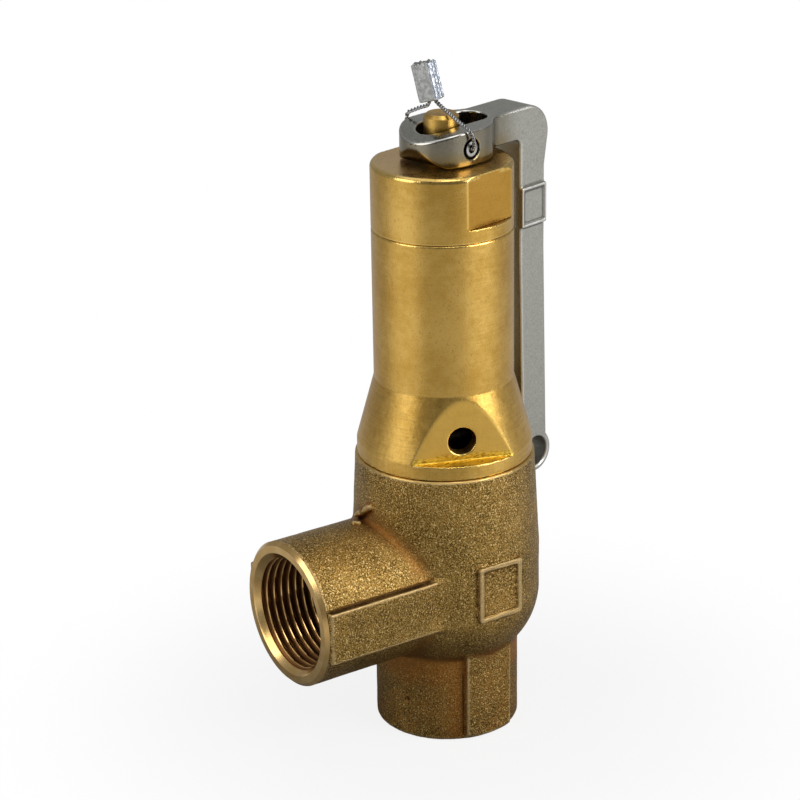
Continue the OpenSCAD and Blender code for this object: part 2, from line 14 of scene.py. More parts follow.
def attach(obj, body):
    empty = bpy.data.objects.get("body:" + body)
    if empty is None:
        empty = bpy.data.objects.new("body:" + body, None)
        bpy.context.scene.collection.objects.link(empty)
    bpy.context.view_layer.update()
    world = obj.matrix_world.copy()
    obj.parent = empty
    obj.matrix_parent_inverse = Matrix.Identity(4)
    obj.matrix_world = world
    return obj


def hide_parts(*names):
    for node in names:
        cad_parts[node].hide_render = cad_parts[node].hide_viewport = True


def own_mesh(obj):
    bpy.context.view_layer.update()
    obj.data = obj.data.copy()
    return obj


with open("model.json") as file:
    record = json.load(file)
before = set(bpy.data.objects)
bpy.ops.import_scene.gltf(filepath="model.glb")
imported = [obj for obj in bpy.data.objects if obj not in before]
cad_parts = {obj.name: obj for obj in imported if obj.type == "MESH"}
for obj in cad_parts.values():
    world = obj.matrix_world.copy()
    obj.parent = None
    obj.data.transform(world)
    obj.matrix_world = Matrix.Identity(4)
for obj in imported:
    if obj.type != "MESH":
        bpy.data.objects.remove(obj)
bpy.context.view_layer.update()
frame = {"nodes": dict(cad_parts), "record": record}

MM = 0.001
COARSE = 1.0
CORNERS = tuple(itertools.product((0, 1), repeat=3))
UPWARD = np.array([0, 0, 1.0])

# Directions about the valve axis
HEAD_TURN = math.radians(11.5)
VENT_TURN = math.radians(-110.8)

# Heights above the inlet's face
OUTLET_Z = 34.9
JOINT_Z = 63.2
RIM_Z = 66.3
VENT_Z = 70.6
SEAM_Z = 113.5
FLAT_Z = 116.5
CAP_Z = 127.7
PIN_Z = 131.5
HEAD_Z = 135.4

# Casting, bonnet and cap: radii, half widths, flats by their distance from the axis, slope of the flare
BARREL_R = 20.5
OUTLET_R = 15.9
INLET_R = 15.75
PAD_HALF = 5.9
PAD_REACH = 16.3
RIM_R = 18.9
TUBE_R = 15
FLARE = 0.2746
VENT_FLAT = 15.3
CAP_FLAT = 13.5

# Threaded mouths
THREAD_PITCH = 1.814
CREST_R = 12.06
ROOT_R = 13.22

# The lever's round features: centres along the lever and above the inlet's face
CROWN_Z = 117.4
CROWN_R = 18
HEEL = (-3.75, 132.7)
HEEL_R = 5
EYE = (24.8, 55.9)
EYE_R = 3.4

# The seal: foot along, across and above the pin, and how it is turned and leant
SEAL_FOOT = (-2, 0.6, 9)
SEAL_YAW = math.radians(-76)
SEAL_LEAN = math.radians(15)


# Shapes as signed distances, negative inside

def both(a, b, r):
    """Inside a and inside b: the larger distance, the edge between them rounded to radius r."""
    u, v = np.maximum(a + r, 0), np.maximum(b + r, 0)
    return np.minimum(-r, np.maximum(a, b)) + np.sqrt(u * u + v * v)


def either(a, b, r):
    """Inside a or inside b: the smaller distance, the corner between them filled to radius r."""
    u, v = np.maximum(r - a, 0), np.maximum(r - b, 0)
    return np.maximum(r, np.minimum(a, b)) - np.sqrt(u * u + v * v)


def between(t, low, high):
    """Distance to the slab from low to high: how far t is from the middle, less half the width."""
    return np.abs(t - (low + high) / 2) - (high - low) / 2


def brick(x, y, z, xs, ys, zs, r):
    """Block given by its three ranges, all edges rounded to radius r."""
    return both(both(between(x, *xs), between(y, *ys), r), between(z, *zs), r)


def near_line(x, y, z, a, b):
    """Distance to the straight line from a to b: to the foot of the plumb line, or to the nearer end."""
    e = [q - p for p, q in zip(a, b)]
    t = sum(k * (v - p) for k, v, p in zip(e, (x, y, z), a)) / sum(k * k for k in e)
    t = np.clip(t, 0, 1)
    return np.sqrt(sum((v - p - t * k) ** 2 for k, v, p in zip(e, (x, y, z), a)))


def outline(u, v, corners):
    """Distance to a polygon: to its nearest edge, the sign from counting the edges crossed."""
    ring = np.asarray(corners, float)
    u, v = np.broadcast_arrays(u, v)
    nearest = np.full(u.shape, 1e9)
    inside = np.zeros(u.shape, bool)
    for (au, av), (bu, bv) in zip(ring, np.roll(ring, -1, axis=0)):
        eu, ev = bu - au, bv - av
        t = np.clip(((u - au) * eu + (v - av) * ev) / (eu * eu + ev * ev), 0, 1)
        nearest = np.minimum(nearest, np.hypot(u - au - t * eu, v - av - t * ev))
        if abs(ev) > 1e-9:
            crosses = (av > v) != (bv > v)
            inside ^= crosses & (u < au + (v - av) * eu / ev)
    return np.where(inside, -nearest, nearest)


LATTICE_SIDE = 24
LATTICE = np.random.default_rng(11).random((LATTICE_SIDE,) * 3)


def lumps(x, y, z, size):
    """Smooth noise from 0 to 1: lattice numbers size apart, blended by 3t^2 - 2t^3 along each axis."""
    total = 0
    cells = [np.floor(np.asarray(t, float) / size).astype(int) for t in (x, y, z)]
    parts = [np.asarray(t, float) / size - c for t, c in zip((x, y, z), cells)]
    parts = [t * t * (3 - 2 * t) for t in parts]
    for corner in CORNERS:
        weight = 1
        for t, k in zip(parts, corner):
            weight = weight * (t if k else 1 - t)
        total = total + weight * LATTICE[tuple((c + k) % LATTICE_SIDE for c, k in zip(cells, corner))]
    return total


def turned(x, y, angle):
    """Coordinates along and across a direction at an angle from x: x cos + y sin, y cos - x sin."""
    c, s = math.cos(angle), math.sin(angle)
    return x * c + y * s, y * c - x * s


def seal_axes(x, y, z):
    """Coordinates along the seal's width, thickness and height: turned about z, then leant."""
    along, across = turned(x, y, HEAD_TURN)
    u, v = turned(along - SEAL_FOOT[0], across - SEAL_FOOT[1], SEAL_YAW)
    u, w = turned(u, z - PIN_Z - SEAL_FOOT[2], SEAL_LEAN)
    return u, v, w


# Meshes

def unit(vectors):
    """Vectors divided by their lengths."""
    return vectors / np.linalg.norm(vectors, axis=-1, keepdims=True)


def levels(low, high, cell, plain):
    """Grid lines one cell apart, two cells apart in the plain stretches of a shape."""
    marks = [low]
    while marks[-1] < high:
        marks.append(marks[-1] + cell * (2 if any(a < marks[-1] < b for a, b in plain) else 1))
    return np.array(marks)


def netted(inside):
    """Surface net of a grid of inside marks: the cells that the surface crosses, and round each
    crossed grid edge a quad of the four cells beside it, facing outward."""
    nx, ny, nz = (n - 1 for n in inside.shape)
    count = sum(inside[i:nx + i, j:ny + j, k:nz + k].astype(np.int8) for i, j, k in CORNERS)
    crossed = (count > 0) & (count < len(CORNERS))
    number = np.full(crossed.shape, -1)
    number[crossed] = np.arange(crossed.sum())
    quads = []
    for a in range(3):
        order = (a, (a + 1) % 3, (a + 2) % 3)
        s, n = np.moveaxis(inside, order, (0, 1, 2)), np.moveaxis(number, order, (0, 1, 2))
        change = s[:-1, 1:-1, 1:-1] != s[1:, 1:-1, 1:-1]
        ring = np.stack([n[:, :-1, :-1], n[:, 1:, :-1], n[:, 1:, 1:], n[:, :-1, 1:]], -1)[change]
        leaves = s[:-1, 1:-1, 1:-1][change]
        quads.append(np.where(leaves[:, None], ring, ring[:, ::-1]))
    return np.nonzero(crossed), np.concatenate(quads)


def skin(distance, low, high, cell, plain=((), (), ())):
    """Skin of a signed distance: one point in each crossed cell of a grid, moved along the gradient
    onto the surface, then evened out three times towards the mean of its neighbours and moved back.
    The normals are the gradient. The plain stretches are given for each axis."""
    reach, flattest, evening = 0.04, 0.2, 0.7
    cell = cell * COARSE
    axes = [levels(a, b, cell, p) for a, b, p in zip(low, high, plain)]
    field = distance(*np.meshgrid(*axes, indexing="ij", sparse=True))
    crossed, quads = netted(np.broadcast_to(field, [len(a) for a in axes]) < 0)
    points = np.stack([((a[1:] + a[:-1]) / 2)[i] for a, i in zip(axes, crossed)], -1)

    def gradient(p):
        """Difference of the distance on both sides of each point, along each axis."""
        steps = np.eye(3) * reach
        return np.stack([distance(*(p + s).T) - distance(*(p - s).T) for s in steps], -1) / (2 * reach)

    def settle(p, times):
        """Moves points down or up the gradient by their distance, at most one cell at a time."""
        for _ in range(times):
            d, g = distance(*p.T), gradient(p)
            move = np.clip(d, -cell, cell) / np.maximum((g * g).sum(-1), flattest)
            p = p - move[:, None] * g
        return p

    points = settle(points, 3)
    ends = np.concatenate([quads[:, [k, (k + 1) % 4]] for k in range(4)])
    ends = np.concatenate([ends, ends[:, ::-1]])
    share = np.bincount(ends[:, 0], minlength=len(points))[:, None]
    for _ in range(3):
        mean = np.stack([np.bincount(ends[:, 0], points[ends[:, 1], k], len(points))
                         for k in range(3)], -1) / share
        points = settle(points + np.clip(mean - points, -cell / 2, cell / 2) * evening, 2)
    return points, quads.tolist(), unit(gradient(points))


def wound(rows):
    """Faces of a closed tube of rings: rows is (rings, sides, 3), the ends shut by one face each."""
    rings, sides = rows.shape[:2]
    a = np.arange(rings - 1)[:, None] * sides + np.arange(sides)
    b = np.arange(rings - 1)[:, None] * sides + (np.arange(sides) + 1) % sides
    walls = np.stack([a, b, b + sides, a + sides], -1).reshape(-1, 4).tolist()
    return walls + [list(range(sides))[::-1], [(rings - 1) * sides + k for k in range(sides)]]


def sideways(path):
    """Two unit vectors square to a path at each point: its direction crossed with a fixed slant
    vector, and with the result."""
    ahead = unit(np.gradient(path, axis=0))
    side = unit(np.cross(ahead, [1, 0.05, 0.02]))
    return side, np.cross(ahead, side)


def swept(path, radius, sides):
    """Circle carried along a path: path + radius (side cos t + up sin t)."""
    side, up = sideways(path)
    t = np.linspace(0, 2 * np.pi, sides, endpoint=False)[None, :, None]
    rows = path[:, None] + radius * (np.cos(t) * side[:, None] + np.sin(t) * up[:, None])
    return rows.reshape(-1, 3), wound(rows)


def ringed(radius, along):
    """Surface of revolution about +Z whose outline is a closed loop: (radius cos t, radius sin t,
    along), with radius and along as (outline points, turns) arrays."""
    n, turns = radius.shape
    t = np.linspace(0, 2 * np.pi, turns, endpoint=False)
    points = np.stack([radius * np.cos(t), radius * np.sin(t),
                       np.broadcast_to(along, radius.shape)], -1).reshape(-1, 3)
    i, k = np.meshgrid(np.arange(n), np.arange(turns), indexing="ij")
    quads = np.stack([(i + 1) % n * turns + k, (i + 1) % n * turns + (k + 1) % turns,
                      i * turns + (k + 1) % turns, i * turns + k], -1)
    return points, quads.reshape(-1, 4).tolist()


def stored(made, name, value):
    """Keeps a value from 0 to 1 at each point of a piece, for its finish."""
    made.data.attributes.new(name, "FLOAT", "POINT").data.foreach_set(
        "value", np.clip(value, 0, 1).astype(np.float32))


def bend(points, distance, reach):
    """Mean distance at the 26 points one reach away, in parts of a full bend of 0.3 reach: above 0
    where the surface bends outward, below 0 in a corner."""
    full = 0.3
    ways = [np.array(w) / math.hypot(*w) for w in itertools.product((-1, 0, 1), repeat=3) if any(w)]
    return sum(distance(*(points + reach * w).T) for w in ways) / len(ways) / reach / full


# The marks drive painted shade, reflections and highlights in the finishes, besides wear.
def bend_marks(made, shape, distance, reach, wide=0.0):
    """Stores how far each point lies on an outer edge, in a hollow corner and, within a wide reach,
    near a corner."""
    here = bend(shape[0], distance, reach)
    stored(made, "edge", here)
    stored(made, "hollow", -here)
    if wide:
        stored(made, "sheltered", -bend(shape[0], distance, wide))


def linked(name, points, faces, material):
    """Object of points and faces, in metres, with one material."""
    mesh = bpy.data.meshes.new(name)
    mesh.from_pydata(points, [], faces)
    mesh.materials.append(material)
    made = bpy.data.objects.new(name, mesh)
    bpy.context.scene.collection.objects.link(made)
    return made


def piece(name, shape, finish, body, nodes=()):
    """Puts points and faces, in millimetres, into a mesh that rides on a body. Normals that come
    with the shape are kept, otherwise edges over 28 degrees are sharp."""
    points, faces = shape[:2]
    made = linked(name, (np.asarray(points) * MM).tolist(), faces, finish)
    made.data.shade_smooth()
    if len(shape) > 2:
        made.data.normals_split_custom_set_from_vertices(shape[2].tolist())
    else:
        made.data.set_sharp_from_angle(angle=math.radians(28))
    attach(made, body)
    if nodes:
        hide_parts(*nodes)
    return made


# Values and nodes of the finishes

def math_node(operation, swapped=False):
    """Method that adds a Math node for a value and what it is combined with."""
    def method(self, *others):
        terms = (self, *others)
        if swapped:
            terms = terms[::-1]
        return self.owner.number("ShaderNodeMath", {"operation": operation}, dict(enumerate(terms)))
    return method


class Number:
    """A value that changes over a surface: a socket whose arithmetic adds Math nodes."""

    def __init__(self, owner, socket):
        self.owner = owner
        self.socket = socket

    __add__ = __radd__ = math_node("ADD")
    __sub__ = math_node("SUBTRACT")
    __rsub__ = math_node("SUBTRACT", swapped=True)
    __mul__ = __rmul__ = math_node("MULTIPLY")
    __truediv__ = math_node("DIVIDE")
    __rtruediv__ = math_node("DIVIDE", swapped=True)
    __abs__ = math_node("ABSOLUTE")
    least = math_node("MINIMUM")
    most = math_node("MAXIMUM")
    root = math_node("SQRT")

    def step(self, low, high):
        """0 below low, 1 above high, smooth between."""
        return self.owner.number(
            "ShaderNodeMapRange", {"interpolation_type": "SMOOTHSTEP"},
            {"Value": self, "From Min": low, "From Max": high})

    def fall(self, low, high):
        """1 below low, 0 above high, smooth between."""
        return 1 - self.step(low, high)

    def within(self, start, low, high, end):
        """1 from low to high, 0 before start and after end, smooth between."""
        return self.step(start, low) * self.fall(high, end)


def far(a, b):
    """Distance from the origin of two values: the root of a squared plus b squared."""
    return (a * a + b * b).root()


class Nodes:
    """The node tree of a material or a world."""

    def __init__(self, holder):
        holder.use_nodes = True
        self.tree = holder.node_tree
        self.tree.nodes.clear()

    def node(self, kind, settings=None, sockets=None):
        """Adds a node: its settings are set first, then the values or links of its sockets."""
        made = self.tree.nodes.new(kind)
        for key, value in (settings or {}).items():
            setattr(made, key, value)
        for key, value in (sockets or {}).items():
            value = getattr(value, "socket", value)
            if isinstance(value, bpy.types.NodeSocket):
                self.tree.links.new(value, made.inputs[key])
            else:
                made.inputs[key].default_value = value
        return made

    def number(self, kind, settings=None, sockets=None):
        """The first output of a new node as a value."""
        return Number(self, self.node(kind, settings, sockets).outputs[0])

    def rays(self):
        """1 on rays that the camera sends, on those from reflections and on those through glass."""
        path = self.node("ShaderNodeLightPath")
        return [Number(self, path.outputs[name])
                for name in ("Is Camera Ray", "Is Glossy Ray", "Is Transmission Ray")]


class Finish(Nodes):
    """One procedural material on Object coordinates."""

    def __init__(self, name):
        self.material = bpy.data.materials.new(name)
        super().__init__(self.material)
        self.place = self.node("ShaderNodeTexCoord").outputs["Object"]

    def xyz(self):
        """The three Object coordinates in millimetres."""
        made = self.node("ShaderNodeSeparateXYZ", None, {0: self.place})
        return [Number(self, made.outputs[k]) * (1 / MM) for k in range(3)]

    def stretched(self, scale):
        """Object coordinates multiplied along each axis."""
        return self.node("ShaderNodeMapping", None, {"Vector": self.place, "Scale": scale}).outputs[0]

    def mark(self, name):
        """A value stored at the points of the piece."""
        return Number(self, self.node("ShaderNodeAttribute", {"attribute_name": name}).outputs["Fac"])

    def noise(self, size, detail=3, rough=0.55, place=None, distortion=0.0):
        """Noise with features of about size millimetres."""
        return self.number("ShaderNodeTexNoise", None, {
            "Vector": place or self.place, "Scale": 1 / (size * MM), "Detail": detail,
            "Roughness": rough, "Distortion": distortion})

    def mixed(self, share, first, second):
        """Colour between first and second, each a tuple of three numbers or a socket. A Mix node takes
        its colours in sockets 6 and 7 and gives its colour in output 2."""
        a, b = ((*c, 1) if isinstance(c, tuple) else c for c in (first, second))
        return self.node("ShaderNodeMix", {"data_type": "RGBA"}, {0: share, 6: a, 7: b}).outputs[2]

    def layered(self, colour, *layers):
        """Colour with layers laid over it in turn, each given by its share and its colour."""
        for share, layer in layers:
            colour = self.mixed(share, colour, layer)
        return colour

    def bump(self, height, depth, normal=None):
        """Normal tilted by a height of depth millimetres, on top of another normal."""
        sockets = {"Height": height, "Distance": depth * MM, "Strength": 1}
        if normal is not None:
            sockets["Normal"] = normal
        return self.node("ShaderNodeBump", None, sockets).outputs[0]

    def glow(self, colour):
        """Shader that gives off a colour at strength 1."""
        return self.node("ShaderNodeEmission", None, {"Color": colour, "Strength": 1}).outputs[0]

    def shown(self, shader):
        """The material, with a shader on its surface."""
        self.node("ShaderNodeOutputMaterial", None, {"Surface": shader})
        return self.material

    def done(self, colour, roughness, metallic, normal, more=None):
        """The material, with a Principled shader."""
        return self.shown(self.node("ShaderNodeBsdfPrincipled", None, {
            "Base Color": colour, "Roughness": roughness, "Metallic": metallic, "Normal": normal,
            **(more or {})}).outputs[0])


# Finishes

def cast_bronze():
    """Sand-cast bronze: brown-gold sandy grain with pale flecks, rubbed pale on edges and on the
    raised frame, the edges with a painted highlight; a painted orange reflection round the corners and
    on the inlet under the barrel;
    painted shade in and near the corners and above the outlet's pads; machined bright on the top ledge."""
    f = Finish("cast_bronze_skin")
    x, y, z = f.xyz()
    front, leftward = y * -1, x * -1
    grain, fine = f.noise(0.27, 3, 0.6), f.noise(0.15, 2, 0.5)
    cloud = f.noise(8, 3, 0.5)
    drift = cloud - 0.5
    fleck = f.noise(0.32, 1, 0.4, distortion=0.4).step(0.57, 0.69)
    corner = f.mark("hollow")
    flank = front.step(13.5, 15.5) * z.step(26, 28)
    ledge = z.step(JOINT_Z - 0.45, JOINT_Z - 0.3)

    raised = front.step(20.45, 20.65) * z.within(29.5, 30, 43.6, 44.1)
    # pale edges: wear with a painted highlight; pale raised frame: wear
    worn_edge_highlight = (f.mark("edge") + raised * 0.75 + (grain - 0.5) * 0.9 + drift * 0.5).step(0.25, 0.75)
    # painted reflection: orange-brown in the corners, as light thrown back by the bronze round them
    hollow = (corner + drift * 0.3).step(0.10, 0.42) * (1 - flank * 0.85)
    # painted shade: darker brown within a wide reach of the corners
    near_corner_shade = (f.mark("sheltered") + drift * 0.3).step(0.12, 0.5) * (1 - flank)
    # painted shade: dark red-brown along the corners at the height of the outlet's top
    outlet_crease_shade = (corner + (fine - 0.5) * 0.5).step(0.22, 0.55) * z.within(39, 42, 56, 60) * (1 - flank)

    foot = (1 - z / 26).step(0.1, 0.7) * cloud.step(0.3, 0.6)
    beside = x.within(-11.5, -6.5, -6.0, -5.8) * front.step(7, 12)
    under = (z + drift * 5).step(10.5, 16.5)
    pad = abs(y).step(PAD_REACH - 0.45, PAD_REACH - 0.2)
    # painted reflection: warm orange light on the inlet under the barrel and beside its pads
    under_barrel_reflection = under.most(beside) * z.fall(18.8, 20.2) * far(x, y).step(14.9, 15.1) * (1 - pad * 0.9)

    above = z - OUTLET_Z - PAD_HALF
    shelf = above.within(-0.15, -0.02, 0.2, 0.6) * abs(y).step(13.6, 14.0) * leftward.step(12, 17)
    spared = z.within(15.5, 17, 24, 26) * 0.7
    # painted shade: dark lines in the tightest corners and on the shelf above the outlet's pads, partly
    # dirt on the shelf
    painted_shade = (corner.step(0.50, 0.85) * (1 - spared)).most(shelf * cloud.step(0.25, 0.45))

    # warm: painted orange reflection in the corners and on the inlet under the barrel, and a warmer tone
    # low down
    warm = hollow.most(foot * 0.5).most(under_barrel_reflection)
    low = f.mixed(warm, (0.082, 0.047, 0.010), (0.125, 0.044, 0.007))
    high = f.mixed(warm, (0.46, 0.28, 0.075), (0.56, 0.27, 0.058))
    sandy = (grain * 0.6 + fine * 0.4 + drift * 0.15).step(0.43, 0.57)
    colour = f.layered(
        f.mixed(sandy, low, high),
        (fleck * (1 - hollow * 0.6) * 0.8, (0.94, 0.69, 0.28)),
        (worn_edge_highlight * 0.6, (0.72, 0.52, 0.25)),
        (near_corner_shade * 0.5, (0.27, 0.125, 0.030)),
        (under_barrel_reflection * 0.45, (0.50, 0.21, 0.042)),
        (outlet_crease_shade * 0.75, (0.24, 0.085, 0.016)),
        (painted_shade * 0.85, (0.035, 0.017, 0.006)),
        (ledge, (0.68, 0.47, 0.17)))
    rough = (0.42 - fleck * 0.12 + (fine - 0.5) * 0.12) * (1 - ledge) + ledge * 0.28
    sand = (grain * 0.7 + fine * 0.3) * (1 - ledge)
    return f.done(colour, rough, 1.0, f.bump(sand, 0.25, f.bump(f.noise(1.4, 2), 0.10)))


def machined_bronze():
    """Machined bronze of mouth rings and threads: fine tool lines, painted shade in red-brown below the
    crests.
    """
    f = Finish("machined_bronze")
    lines = f.noise(0.12, 2, 0.5, f.stretched((1, 0.04, 0.04)))
    sunk = f.mark("sunk").step(0.05, 0.24)
    colour = f.mixed(f.noise(3.5, 3).step(0.35, 0.7), (0.70, 0.45, 0.165), (0.84, 0.58, 0.245))
    # painted shade: red-brown below the crests, in the grooves
    colour = f.mixed(sunk * 0.92, colour, (0.25, 0.094, 0.028))
    return f.done(colour, 0.16 + lines * 0.12 + sunk * 0.22, 1.0, f.bump(lines, 0.012))


def turned_brass(name, satin_from):
    """Turned brass: rings left by the tool round the axis, mottled with small tarnish spots; satin on
    the tube above a height in millimetres, streaked on the flare below it; paler and plain on the
    milled flat of the vent, painted light in deep yellow on its ledge; browner on the cap's flats, a
    painted dark reflection on the shelf under them, a painted pale reflection on one side of its top;
    bright along worn edges and the rolled top edge, a painted highlight."""
    f = Finish(name)
    x, y, z = f.xyz()
    rings = f.noise(0.14, 2, 0.6, f.stretched((0.012, 0.012, 1)))
    streak = f.noise(0.30, 3, 0.6, f.stretched((0.05, 0.05, 1)))
    chatter = f.noise(0.7, 3, 0.6, f.stretched((1, 1, 0.06)))
    spots = f.noise(0.45, 3, 0.62, f.stretched((1, 1, 0.6)))
    stain = f.noise(0.35, 3, 0.6, f.stretched((0.25, 1, 1)))
    cloud, mottle = f.noise(10, 3, 0.55), f.noise(1.8, 4, 0.62)
    satin = z.step(satin_from - 0.1, satin_from + 0.1)
    flared = 1 - satin

    out = turned(x, y, VENT_TURN)[0] - VENT_FLAT
    milled = out.within(-0.15, -0.05, 0.04, 0.10) * z.step(RIM_Z, RIM_Z + 0.2) * flared
    inside = RIM_R - (z - RIM_Z) * FLARE - far(x, y)
    # painted light: the vent's ledge deep yellow as if sunlit, fading upward
    band = (z + (stain - 0.5) * 1.2 + (mottle - 0.5) * 1.5).fall(67.2, 68.0)
    ledge = out.step(-0.15, -0.05) * inside.step(0.04, 0.16) * z.step(RIM_Z - 0.15, RIM_Z - 0.05) * band
    lit_ledge_colour = f.mixed(stain.step(0.36, 0.56), (0.50, 0.28, 0.03), (0.98, 0.68, 0.10))

    flat = abs(turned(x, y, HEAD_TURN)[1]).step(CAP_FLAT - 0.1, CAP_FLAT - 0.02)
    flat = flat * z.step(FLAT_Z - 0.1, FLAT_Z - 0.05)
    # painted reflection: the shelf under the cap's flats dark, as if reflecting dark surroundings
    shelf = flat * z.fall(FLAT_Z + 0.08, FLAT_Z + 0.20)
    # painted reflection: one side of the cap's top paler
    painted_top_reflection = z.step(CAP_Z - 0.5, CAP_Z - 0.1) * (x * -0.82 + y * 0.57).step(1, 11)
    # painted highlight: the rolled top edge and the worn edges made brighter, the edges also wear
    roll = z.step(CAP_Z - 1.1, CAP_Z - 0.8) * far(x, y).step(TUBE_R - 1.3, TUBE_R - 1.05)
    worn_edge_highlight = f.mark("edge").step(0.2, 0.6)

    tarnish = (cloud * 0.4 + streak * 0.15 + spots * 0.2 + mottle * 0.25).step(0.40, 0.60)
    colour = f.layered(
        f.mixed(tarnish, (0.53, 0.31, 0.062), (0.68, 0.435, 0.115)),
        (spots.step(0.56, 0.70) * 0.5, (0.30, 0.155, 0.03)),
        (flared * (streak + chatter * 0.4).step(0.66, 0.84) * 0.4, (0.36, 0.21, 0.042)),
        (milled * (0.45 + mottle * 0.7), (0.76, 0.47, 0.10)),
        (ledge, lit_ledge_colour),
        (flat * 0.8, (0.48, 0.25, 0.037)),
        (shelf * 0.8, (0.16, 0.075, 0.012)),
        (painted_top_reflection * 0.5, (0.97, 0.69, 0.36)),
        (worn_edge_highlight.most(roll * spots.step(0.30, 0.55)) * 0.5, (0.90, 0.66, 0.22)))
    rough = (0.34 - satin * 0.04 + (streak - 0.5) * 0.18 + (spots - 0.5) * 0.14 + (mottle - 0.5) * 0.18
             + (chatter - 0.5) * flared * 0.16 - worn_edge_highlight.most(roll) * 0.13)
    lines = rings * (0.6 + flared * 2.0) * (1 - milled)
    normal = f.bump(lines, 0.006, f.bump(spots, 0.026, f.bump(mottle, 0.04)))
    return f.done(colour, rough, 1.0, normal, {"Anisotropic": 0.4, "Anisotropic Rotation": 0.25})


def cast_steel():
    """Cast stainless steel: blasted satin on the arm, smoother on the head's sides and painted darker
    there as a reflection, which turns to a painted brown-gold reflection of the cap towards it; rubbed
    edges with a painted highlight, painted shade in the corners and a painted shadow under the nose."""
    f = Finish("satin_cast_steel")
    x, y, z = f.xyz()
    along = turned(x, y, HEAD_TURN)[0]
    arm = along.step(10, 20)
    grain, wave = f.noise(0.3, 3, 0.6), f.noise(4, 2)
    # painted reflection: the head's sides darker, and brown-gold towards the cap below a wavy height
    side = far(along.least(0), z - CROWN_Z).fall(CROWN_R - 0.4, CROWN_R - 0.05) * (1 - arm)
    cap_reflection = (z + (wave - 0.5) * 1.2).fall(128.8, 132.6)
    # painted shadow: the underside of the nose dark
    nose = far(along - HEEL[0], z - HEEL[1]).step(HEEL_R - 0.18, HEEL_R - 0.05)
    nose = nose * along.fall(-5.3, -4.9) * z.fall(131.4, 132.2)
    colour = f.layered(
        f.mixed(grain.step(0.3, 0.7), (0.33, 0.325, 0.29), (0.47, 0.465, 0.42)),
        # paler edges: wear with a painted highlight
        (f.mark("edge").step(0.3, 0.7) * 0.45, (0.74, 0.73, 0.70)),
        # painted shade in the corners
        (f.mark("hollow").step(0.2, 0.6) * 0.8, (0.10, 0.095, 0.085)),
        (side * 0.68, (0.155, 0.125, 0.068)),
        (side * cap_reflection * 0.7, (0.25, 0.175, 0.05)),
        (nose * 0.85, (0.06, 0.038, 0.014)))
    rough = 0.11 + arm * 0.22 + grain * 0.08 + wave * 0.06
    return f.done(colour, rough, 1.0, f.bump(grain * (0.4 + arm * 0.6), 0.03, f.bump(wave, 0.10)))


def bright_steel(name, low, high):
    """Plain steel of a grey from low to high, with drawn lines along and round it."""
    f = Finish(name)
    lines = f.noise(0.12, 2, 0.5, f.stretched((1, 0.1, 1)))
    colour = f.mixed(lines.step(0.3, 0.7), (low, low, low), (high, high, high))
    return f.done(colour, 0.20 + lines * 0.10, 1.0, f.bump(lines, 0.006))


def near_black_spring():
    """Spring wire painted near black, as the shade inside the bonnet."""
    f = Finish("near_black_spring_wire")
    stain = f.noise(1.2, 3)
    colour = f.mixed(stain.step(0.35, 0.65), (0.012, 0.011, 0.010), (0.03, 0.027, 0.024))
    return f.done(colour, 0.5 + stain * 0.15, 1.0, f.bump(stain, 0.01))


def pin_metal():
    """Steel pin with a bright riveted lip: painted shade in the ring round it and in the hole of its
    end.
    """
    f = Finish("riveted_pin_steel")
    x, y, z = f.xyz()
    r = far(turned(x, y, HEAD_TURN)[0], z - PIN_Z)
    lines = f.noise(0.2, 2, 0.5)
    # painted shade in the ring round the pin and in the hole of its end
    painted_shade = r.step(1.50, 1.62).most(r.fall(0.72, 0.84))
    colour = f.mixed(lines.step(0.3, 0.7), (0.46, 0.455, 0.43), (0.62, 0.615, 0.59))
    colour = f.mixed(painted_shade * 0.95, colour, (0.02, 0.018, 0.015))
    return f.done(colour, 0.24 + lines * 0.10, 1.0, f.bump(lines, 0.01))


def seal_metal():
    """Crimped soft metal: dull mottled grey; one side painted bright bluish white with streaks, as if
    lit.
    """
    f = Finish("crimped_seal_metal")
    mottle = f.noise(0.9, 4, 0.6)
    # painted light: one side of the seal bright bluish white
    lit_side = seal_axes(*f.xyz())[0].step(1.72, 1.92)
    scuff = f.noise(0.3, 2, 0.5, f.stretched((1, 1, 0.35))).step(0.45, 0.62)
    colour = f.mixed(mottle.step(0.35, 0.65), (0.27, 0.275, 0.268), (0.45, 0.455, 0.435))
    colour = f.mixed(lit_side, colour, f.mixed(scuff, (0.28, 0.31, 0.36), (0.70, 0.73, 0.78)))
    return f.done(colour, 0.26 + mottle * 0.16 + lit_side * 0.06, 1.0, f.bump(mottle, 0.035))


def black_rubber():
    """Matt black rubber with a faint bloom."""
    f = Finish("black_rubber")
    bloom = f.noise(1.5, 3)
    colour = f.mixed(bloom.step(0.4, 0.7), (0.018, 0.018, 0.018), (0.04, 0.04, 0.038))
    return f.done(colour, 0.6 + bloom * 0.2, 0.0, f.bump(bloom, 0.02))


BRONZE = cast_bronze()
MOUTH = machined_bronze()
BRASS = turned_brass("turned_brass_tube", satin_from=80.5)
STEM_BRASS = turned_brass("turned_brass_stem", satin_from=300)  # above its top, so streaked all over
LEVER_STEEL = cast_steel()
PLAIN_STEEL = bright_steel("bright_steel", low=0.50, high=0.66)
SPRING_STEEL = near_black_spring()
WIRE_STEEL = bright_steel("seal_wire_steel", low=0.24, high=0.40)
PIN_STEEL = pin_metal()
SEAL = seal_metal()
RUBBER = black_rubber()


# Casting

